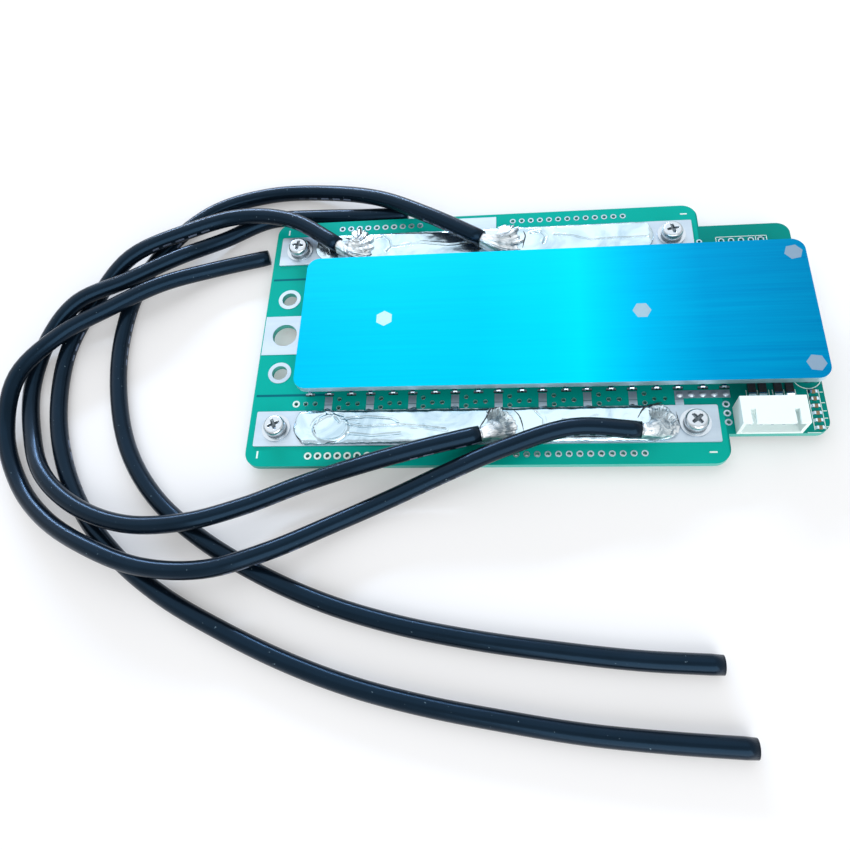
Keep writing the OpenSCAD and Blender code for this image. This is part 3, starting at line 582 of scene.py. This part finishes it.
def off_line(x, y, points):
    """Distance from a place to a line of points."""
    nearest = math.inf
    for (ax, ay), (bx, by) in zip(points, points[1:]):
        dx, dy = bx - ax, by - ay
        t = max(0.0, min(1.0, ((x - ax) * dx + (y - ay) * dy) / (dx * dx + dy * dy)))
        nearest = min(nearest, math.hypot(x - ax - t * dx, y - ay - t * dy))
    return nearest


def bed_height(x, y, side):
    """Height of the solder over the bar, in millimetres, at a place on the strip."""
    across = abs(y - side * strip_y)
    edge = max(0.0, min(1.0, (4.95 - across) / 1.2))
    ends = max(0.05, min(1.0, (x - bed_lo.x + 0.6) / 2.0, (bed_hi.x + 0.6 - x) / 2.0))
    calm = 0.6 if side > 0 else 1.0
    h = (0.95 if side < 0 else 0.75) * edge ** 0.5 * ends ** 0.5
    h += calm * (0.2 * lumpy(x, y, 0.16, side * 3.1) + 0.12 * lumpy(x, y, 0.42, side * 5.7))
    h += calm * 0.16 * (0.5 - abs(lumpy(x * 0.6, y, 0.55, side * 7.3)))
    if side < 0:
        # the round ripple where one big drop ran into the rest
        r = math.hypot((x - drop_centre[0]) / drop_reach[0], (y - drop_centre[1]) / drop_reach[1])
        h += 0.26 * math.exp(-((r - 1.0) / 0.1) ** 2) - 0.22 * math.exp(-((r - 1.2) / 0.09) ** 2)
    for points, width, depth in creases[side]:
        d = off_line(x, y, points)
        if d < 4 * width:
            h += depth * (0.45 * math.exp(-((d - 2 * width) / width) ** 2)
                          - math.exp(-(d / width) ** 2))
    return max(h, 0.05)


def closed_below(bm, drop_to):
    """Carries the open rim of a grid down to a level, and closes it there."""
    rim = [e for e in bm.edges if e.is_boundary]
    skirt = bmesh.ops.extrude_edge_only(bm, edges=rim)["geom"]
    for v in (g for g in skirt if isinstance(g, bmesh.types.BMVert)):
        v.co.z = drop_to
    bmesh.ops.holes_fill(bm, edges=[e for e in bm.edges if e.is_boundary], sides=0)
    bmesh.ops.recalc_face_normals(bm, faces=bm.faces)


def solder_bed_piece(node, side):
    """The solder of one strip: rippled, creased, lobed along its edges and drawn up onto
    the foot of every finger."""
    bm = bmesh.new()
    bmesh.ops.create_grid(bm, x_segments=440, y_segments=42, size=1.0)
    middle, half = (bed_lo.x + bed_hi.x) / 2, (bed_hi.x - bed_lo.x) / 2
    for v in bm.verts:
        u, w = v.co.x, v.co.y
        at_end = max(0.0, abs(u) - 0.9) * 10
        hollow = (1.2 if w > 0 else 3.0) if u < 0 else 1.6
        x = middle + u * half - math.copysign(hollow * w * w * at_end ** 2, u)
        reach = 4.55 + 0.3 * lumpy(x, 9.0, 0.7, side) + 0.12 * lumpy(x, 4.0, 2.2, side)
        if side * w < 0:
            near = (x - first_finger + finger_pitch / 2) % finger_pitch - finger_pitch / 2
            foot = max(0.0, 1 - (near / 1.3) ** 2)
            reach += (0.75 + 0.7 * lumpy(x, 2.0, 0.35, 21 + side)) * foot ** 0.5
        y = side * strip_y + w * reach * (1 - 0.1 * at_end ** 3)
        v.co = Vector((x, y, z_bar + bed_height(x, y, side)))
    closed_below(bm, z_bar - 0.02)
    return finish_piece(bm, node + "_ripples", [node], finishes["solder"])


solder_bed_piece("battery_solder_bed", -1)
solder_bed_piece("load_solder_bed", 1)


# ---- soldered cable ends ----

def joint_piece(node, reach, spread, lean, seed, ragged, strands):
    """A fan of strands that leaves the cable as a round bundle, spreads and runs down
    into the solder. lean turns the fan's middle from the cable's own direction."""
    route = cable_routes[node.replace("joint", "cable")]
    tip = Vector(route[0])
    out = tip - Vector(route[1])
    heading = math.atan2(out.y, out.x)
    fan, turn = math.radians(spread) / 2, math.radians(lean)
    drop = z_bar + 0.75 - tip.z

    def surface(u, w):
        angle = heading + w * fan * u ** 0.4 + turn * u ** 0.8
        tips = (0.6 * noise.noise(Vector((w * 5, 0, seed + 3)))
                + 0.4 * noise.noise(Vector((w * 19, 0, seed + 5))))
        length = reach * (1 - 0.28 * w ** 4) * (1 + ragged * tips)
        r = 0.05 + length * u
        bundle = 1.43 * w * (1 - u) ** 1.5
        x = r * math.cos(angle) - bundle * math.sin(heading)
        y = r * math.sin(angle) + bundle * math.cos(heading)
        crown = math.sqrt(max(0.0, 1 - w * w))
        fall = 3 * u * u - 2 * u ** 3
        z = (1 - fall) * 1.5 * crown + fall * (drop + 1.5 * crown * (1 - u) + 0.5 * crown)
        rough = min(1.0, u * 3) * (1.15 - u)
        z += rough * (0.2 * noise.noise(Vector((w * 11, u * 0.8, seed)))
                      + (0.2 + ragged) * noise.noise(Vector((x * 0.45, y * 0.45, seed + 1)))
                      + 1.2 * ragged * noise.noise(Vector((x * 1.1, y * 1.1, seed + 2))))
        return tip + Vector((x, y, z))

    bm = bmesh.new()
    bmesh.ops.create_grid(bm, x_segments=40, y_segments=80, size=1.0)
    for v in bm.verts:
        v.co = surface((v.co.x + 1) / 2, v.co.y)
    rim = bmesh.ops.extrude_edge_only(bm, edges=[e for e in bm.edges if e.is_boundary])["geom"]
    for v in (g for g in rim if isinstance(g, bmesh.types.BMVert)):
        sink = min(1.0, math.hypot(v.co.x - tip.x, v.co.y - tip.y) / 3.5)
        v.co.z = tip.z + (1 - sink) * -1.4 + sink * (drop - 0.5)
    bmesh.ops.holes_fill(bm, edges=[e for e in bm.edges if e.is_boundary], sides=0)
    bmesh.ops.recalc_face_normals(bm, faces=bm.faces)
    for k in range(strands):
        w = -0.95 + 1.9 * k / (strands - 1)
        last = random.uniform(0.8, 1.0)
        line = [surface(0.03 + last * 0.97 * i / 11,
                        w + 0.035 * noise.noise(Vector((i * 0.35, k * 1.7, seed))))
                + Vector((0, 0, 0.13)) for i in range(12)]
        sweep(bm, line, [0.2 * (1 - 0.4 * i / 11) for i in range(12)], 6)
    return finish_piece(bm, node + "_strands", [node], finishes["strands"])


joint_piece("battery_joint_left", 9.4, 82, 26, 3, 0.14, 21)
joint_piece("battery_joint_right", 9.8, 78, 36, 8, 0.08, 23)
joint_piece("load_joint_left", 9.3, 96, 52, 14, 0.4, 0)
joint_piece("load_joint_right", 10.2, 78, 46, 21, 0.34, 0)

# dark seams of painted shade along the creases, the ripple's groove and the edges of the cable
# ends, with some flux residue: points, half width, lift over the bed
seams = (
    (((-57.6, -24.2), (-58.9, -27.6), (-58.1, -30.1), (-56.2, -32.7)), 0.2, -0.35),
    (((-50.6, -24.1), (-48.8, -25.1), (-47.2, -26.7)), 0.15, -0.05),
    (((-49.3, -25.1), (-52.2, -26.4), (-53.3, -28.6), (-52.2, -30.9), (-50.0, -32.0)), 0.15, -0.08),
    (creases[-1][0][0], 0.08, -0.14),
    (((-11.6, -29.6), (-9.6, -26.2), (-8.4, -24.0), (-5.6, -23.2)), 0.24, 0.12),
    (((-3.0, -24.2), (-1.6, -25.9), (-0.9, -27.9), (-0.5, -30.2)), 0.18, 0.05),
    (((2.5, -25.0), (4.4, -27.0), (4.3, -29.6), (2.8, -31.2)), 0.1, -0.12),
    (((26.9, -27.0), (28.6, -24.4), (31.2, -23.1), (33.2, -22.6)), 0.26, 0.15),
    (((36.2, -25.0), (36.5, -27.4), (36.4, -30.2)), 0.14, -0.1),
    (((-53.8, 32.2), (-53.9, 30.0), (-53.3, 28.4)), 0.2, 0.1),
    (((-50.6, 31.0), (-48.4, 30.2), (-46.6, 30.5)), 0.26, 1.15),
    (((-47.7, 27.0), (-44.9, 25.9), (-43.4, 26.3)), 0.24, 0.75),
    (((-38.8, 31.4), (-37.2, 30.2), (-36.7, 27.7)), 0.12, -0.1),
    (((-3.6, 29.4), (-3.2, 28.6), (-3.4, 27.7)), 0.3, 1.0),
    (((0.5, 31.2), (1.0, 29.6), (0.7, 28.0), (0.2, 25.4)), 0.22, 0.1),
    (((5.4, 30.7), (6.6, 29.0), (5.9, 26.7)), 0.13, -0.1),
)


# the seams are painted shade in the creases and gaps of the solder, with some flux residue
def seam_piece():
    bm = bmesh.new()
    for points, width, lift in seams:
        side = math.copysign(1, points[0][1])
        line = smooth_line([(x, y, 0) for x, y in points], 6)
        for p in line:
            p.z = z_bar + bed_height(p.x, p.y, side) + lift - 0.4 * width
        n = len(line) - 1
        radii = [width * (0.25 + 0.75 * math.sin(math.pi * i / n))
                 * (1 + 0.5 * lumpy(p.x, p.y, 2.5, 5)) for i, p in enumerate(line)]
        sweep(bm, line, radii, 8)
    return finish_piece(bm, "painted_shade_seams", (), finishes["shade_and_residue"])


seam_piece()


# ---- pan-head screws ----

head_r, rim_r = 2.8, 0.75
screw_box = [Vector(c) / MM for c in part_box("strip_screws")]
z_head_top = screw_box[1].z
z_head = z_head_top - 1.9
screw_places = [(x, side * strip_y) for x in (left + 7.5, main_right - 7.5) for side in (-1, 1)]


def recess_depth(x, y):
    """Depth of the tapering cross recess at a place on the head."""
    reach = max(abs(x), abs(y))
    half = 0.52 - 0.1 * reach
    inside = min(1.0, max(0.0, (half - min(abs(x), abs(y))) / 0.14))
    inside *= min(1.0, max(0.0, (1.62 - reach) / 0.2))
    return inside * (1.15 - 0.45 * reach)


def screw_piece():
    """Pan heads with a rounded rim and a cross recess, each with its shank."""
    bm = bmesh.new()
    for number, (cx, cy) in enumerate(screw_places):
        turn = math.radians((24, -8, 41, 12)[number])
        grid = bmesh.ops.create_grid(bm, x_segments=108, y_segments=34, size=1.0)["verts"]
        for v in grid:
            angle, t = v.co.x * math.pi, (v.co.y + 1) / 2
            if t < 0.7:
                r = (head_r - rim_r) * t / 0.7
                z = z_head_top - 0.12 * (r / head_r) ** 2
            elif t < 0.92:
                a = (t - 0.7) / 0.22 * math.pi / 2
                r = head_r - rim_r + rim_r * math.sin(a)
                z = z_head_top - 0.07 - 1.1 * (1 - math.cos(a))
            else:
                r = head_r
                z = z_head_top - 1.17 - (t - 0.92) / 0.08 * (z_head_top - 1.17 - z_head)
            x, y = r * math.cos(angle), r * math.sin(angle)
            z -= recess_depth(x, y)
            v.co = Matrix.Rotation(turn, 3, "Z") @ Vector((x, y, z)) + Vector((cx, cy, 0))
        bmesh.ops.remove_doubles(bm, verts=grid, dist=0.0005)
        length = z_head + 0.2 - screw_box[0].z
        shank = Matrix.Translation((cx, cy, screw_box[0].z + length / 2))
        bmesh.ops.create_cone(bm, cap_ends=True, segments=24, radius1=1.35, radius2=1.48,
                              depth=length, matrix=shank)
    bmesh.ops.holes_fill(bm, edges=[e for e in bm.edges if e.is_boundary], sides=0)
    bmesh.ops.recalc_face_normals(bm, faces=bm.faces)
    # the walls and floor of each recess take the dark steel: painted shade
    for face in bm.faces:
        middle = face.calc_center_median()
        off = min(math.hypot(middle.x - cx, middle.y - cy) for cx, cy in screw_places)
        face.material_index = int(off < 1.75 and z_head < middle.z < z_head_top - 0.3)
    piece = finish_piece(bm, "pan_head_screws", ["strip_screws"], finishes["nickel"])
    piece.data.materials.append(finishes["painted_shade_steel"])
    return piece


screw_piece()


# ---- printed and plated marks ----

def ring_mark(bm, x, y, outer, inner, z=0.03):
    """A flat printed or plated ring."""
    circle = bmesh.ops.create_circle(bm, cap_ends=True, segments=28, radius=outer / 2)["verts"]
    face = circle[0].link_faces[0]
    ring = bmesh.ops.inset_individual(bm, faces=[face], thickness=(outer - inner) / 2,
                                      use_even_offset=True)["faces"]
    verts = list({v for f in ring for v in f.verts})
    bmesh.ops.delete(bm, geom=[face], context="FACES_ONLY")
    bmesh.ops.translate(bm, vec=(x, y, z_top + z), verts=verts)


def bar_mark(bm, x0, y0, x1, y1, z=0.03):
    """A flat printed bar between two corners."""
    verts = bmesh.ops.create_grid(bm, x_segments=1, y_segments=1, size=0.5)["verts"]
    bmesh.ops.scale(bm, vec=(abs(x1 - x0), abs(y1 - y0), 1), verts=verts)
    bmesh.ops.translate(bm, vec=((x0 + x1) / 2, (y0 + y1) / 2, z_top + z), verts=verts)


def box_mark(bm, x0, y0, x1, y1, w=0.18, z=0.03):
    """A printed rectangle outline."""
    bar_mark(bm, x0, y0, x1, y0 + w, z)
    bar_mark(bm, x0, y1 - w, x1, y1, z)
    bar_mark(bm, x0, y0, x0 + w, y1, z)
    bar_mark(bm, x1 - w, y0, x1, y1, z)


def marks_piece(bm, name, finish):
    """Gives the flat marks a little body, so that each is a closed plate."""
    grown = bmesh.ops.extrude_face_region(bm, geom=list(bm.faces))["geom"]
    verts = [g for g in grown if isinstance(g, bmesh.types.BMVert)]
    bmesh.ops.translate(bm, vec=(0, 0, 0.02), verts=verts)
    bmesh.ops.recalc_face_normals(bm, faces=bm.faces)
    return finish_piece(bm, name, (), finishes[finish], smooth=False)


def lead_places():
    """The middles of the lead tips along the front row."""
    mesh, place = nodes["transistor_leads"].data, nodes["transistor_leads"].matrix_world
    tips = [(place @ v.co) / MM for v in mesh.vertices]
    far = min(p.y for p in tips)
    xs = sorted(p.x for p in tips if p.y < far + 0.3)
    groups = [[xs[0]]]
    for x in xs[1:]:
        if x - groups[-1][-1] > 0.6:
            groups.append([])
        groups[-1].append(x)
    return [(g[0] + g[-1]) / 2 for g in groups]


hole_pitch = 2.54
row_y = half_w - 2.75
bay_y = strip_y - strip_w / 2 - 2.2
header_x, header_y = main_right + 10.4, -ext_front - 5.2
printed, plated, shaded = bmesh.new(), bmesh.new(), bmesh.new()

for i in range(10):
    ring_mark(printed, left + 16.5 + i * hole_pitch, -row_y, 1.95, 1.05)
    ring_mark(plated, left + 19.3 + i * hole_pitch, row_y, 1.75, 1.02)
for i in range(13):
    for side in (-1, 1):
        ring_mark(plated, left + 68.7 + i * hole_pitch, side * row_y, 1.6, 1.02)
for side in (-1, 1):
    ring_mark(printed, left + 11.85, side * bay_y, 1.95, 1.05)
    for i in (1, 2):
        ring_mark(plated, left + 11.85 + i * hole_pitch, side * bay_y, 1.2, 1.02)
    for i in range(8):
        x = first_finger + 2.8 + i * finger_pitch
        for dx, dy in ((0, -1.25), (0, 1.25), (2.35, 0.15), (4.89, 0.15)):
            if i < 7 or dx == 0:
                ring_mark(plated, x + dx, side * (bay_y + dy), 1.16, 1.02)
    # solder on the lead tips, and a dark line of painted shade in front of them
    for x in lead_places():
        bar_mark(plated, x - 0.7, side * 18.15, x + 0.7, side * 18.6, 0.06)
        bar_mark(shaded, x - 0.75, side * 18.6, x + 0.75, side * 18.95)
for i in range(3):
    ring_mark(plated, main_right + 0.3, ext_front + 3.1 + i * 2.4, 1.75, 1.0)

# the row of header holes, in its box
for i in range(4):
    ring_mark(plated, header_x + (i - 2) * hole_pitch, header_y, 1.6, 1.02)
box_mark(plated, header_x + 2 * hole_pitch - 0.85, header_y - 0.85,
         header_x + 2 * hole_pitch + 0.85, header_y + 0.85, 0.34)
box_mark(printed, header_x - 6.5, header_y - 1.3, header_x + 6.7, header_y + 1.3)
bar_mark(printed, header_x + 3.72, header_y - 1.3, header_x + 3.9, header_y + 1.3)
ring_mark(plated, header_x - 10.8, header_y, 1.5, 0.82)

# rings round the end standoffs, lines between the chip resistors, and the outline and
# pointer of the row of small parts
for side in (-1, 1):
    ring_mark(printed, right - 3.3, side * 16.0, 6.8, 6.4)
for x in (53.3, 55.9, 58.55, 59.4, 62.05, 64.6):
    bar_mark(printed, x - 0.09, -21.25, x + 0.09, -19.4)
bar_mark(printed, 65.6, -30.99, 68.6, -30.81)
for x in (67.35, 69.85):
    bar_mark(printed, x - 0.08, -30.2, x + 0.08, -19.6)
for y in (-20.3, -23.15, -25.3, -27.2, -29.45):
    bar_mark(printed, 70.0, y - 0.1, 70.8, y + 0.1)

# plain minus bars beside the strips, in place of lettering
bar_mark(printed, left + 3.0, -half_w + 2.2, left + 3.45, -half_w + 4.2)
bar_mark(printed, main_right - 5.0, -half_w + 2.7, main_right - 3.2, -half_w + 3.1)
bar_mark(printed, main_right - 4.4, half_w - 3.2, main_right - 2.6, half_w - 2.8)
bar_mark(printed, left + 3.2, half_w - 4.2, left + 3.6, half_w - 2.4)
bar_mark(printed, left + 49.3, half_w - 3.4, left + 49.7, half_w - 1.9)

marks_piece(printed, "printed_marks", "ink")
marks_piece(plated, "plated_rings", "tin")
# the dark lines in front of the lead tips are painted shade
marks_piece(shaded, "painted_shade_lines", "shade_and_residue")


# ---- floor, light and background ----

def make_floor():
    bm = bmesh.new()
    bmesh.ops.create_grid(bm, x_segments=1, y_segments=1, size=1500.0)
    bmesh.ops.scale(bm, vec=(MM, MM, MM), verts=bm.verts)
    mesh = bpy.data.meshes.new("floor")
    bm.to_mesh(mesh)
    bm.free()
    floor = bpy.data.objects.new("floor", mesh)
    bpy.context.scene.collection.objects.link(floor)
    mat = bpy.data.materials.new("white_paper_sweep")
    mat.use_nodes = True
    tree = mat.node_tree
    shader = tree.nodes["Principled BSDF"]
    shader.inputs["Base Color"].default_value = colour("#FBFBFC")
    shader.inputs["Roughness"].default_value = 0.9
    glow = add(tree, "ShaderNodeEmission", {"Color": (1, 1, 1, 1), "Strength": 1.0})
    seen = add(tree, "ShaderNodeLightPath").outputs["Is Camera Ray"]
    share = reckon(tree, "MULTIPLY", seen, 0.25)
    mixed = add(tree, "ShaderNodeMixShader", {0: share, 1: shader.outputs[0],
                                              2: glow.outputs[0]})
    tree.links.new(mixed.outputs[0], tree.nodes["Material Output"].inputs["Surface"])
    mesh.materials.append(mat)


def make_world():
    world = bpy.data.worlds.new("studio")
    bpy.context.scene.world = world
    world.use_nodes = True
    tree = world.node_tree
    background = tree.nodes["Background"]
    background.inputs["Color"].default_value = (1, 1, 1, 1)
    paths = add(tree, "ShaderNodeLightPath").outputs
    plain = reckon(tree, "ADD", paths["Is Camera Ray"], paths["Is Glossy Ray"], clamp=True)
    strength = add(tree, "ShaderNodeMapRange", {"Value": plain, "To Min": 0.48,
                                                "To Max": 0.8}).outputs[0]
    tree.links.new(strength, background.inputs["Strength"])


def add_lamp(name, place, aim, size, power, tint="#FFFFFF"):
    data = bpy.data.lights.new(name, "AREA")
    data.shape = "RECTANGLE"
    data.size, data.size_y = size
    data.energy = power
    data.color = colour(tint)[:3]
    lamp = bpy.data.objects.new(name, data)
    bpy.context.scene.collection.objects.link(lamp)
    lamp.location = place
    lamp.rotation_euler = (Vector(aim) - Vector(place)).to_track_quat("-Z", "Y").to_euler()


make_floor()
make_world()
add_lamp("window", (-0.25, 0.45, 0.8), (0, 0, 0), (1.8, 1.2), 4.1, "#F4F9FF")
add_lamp("fill", (0.3, -0.8, 0.5), (0, 0, 0), (0.9, 0.9), 6.5)
add_lamp("low_strip", (-0.3, 0.9, 0.35), (0, 0, 0), (0.7, 0.07), 8.0, "#CFE4FF")

bpy.context.scene.view_settings.view_transform = "Standard"
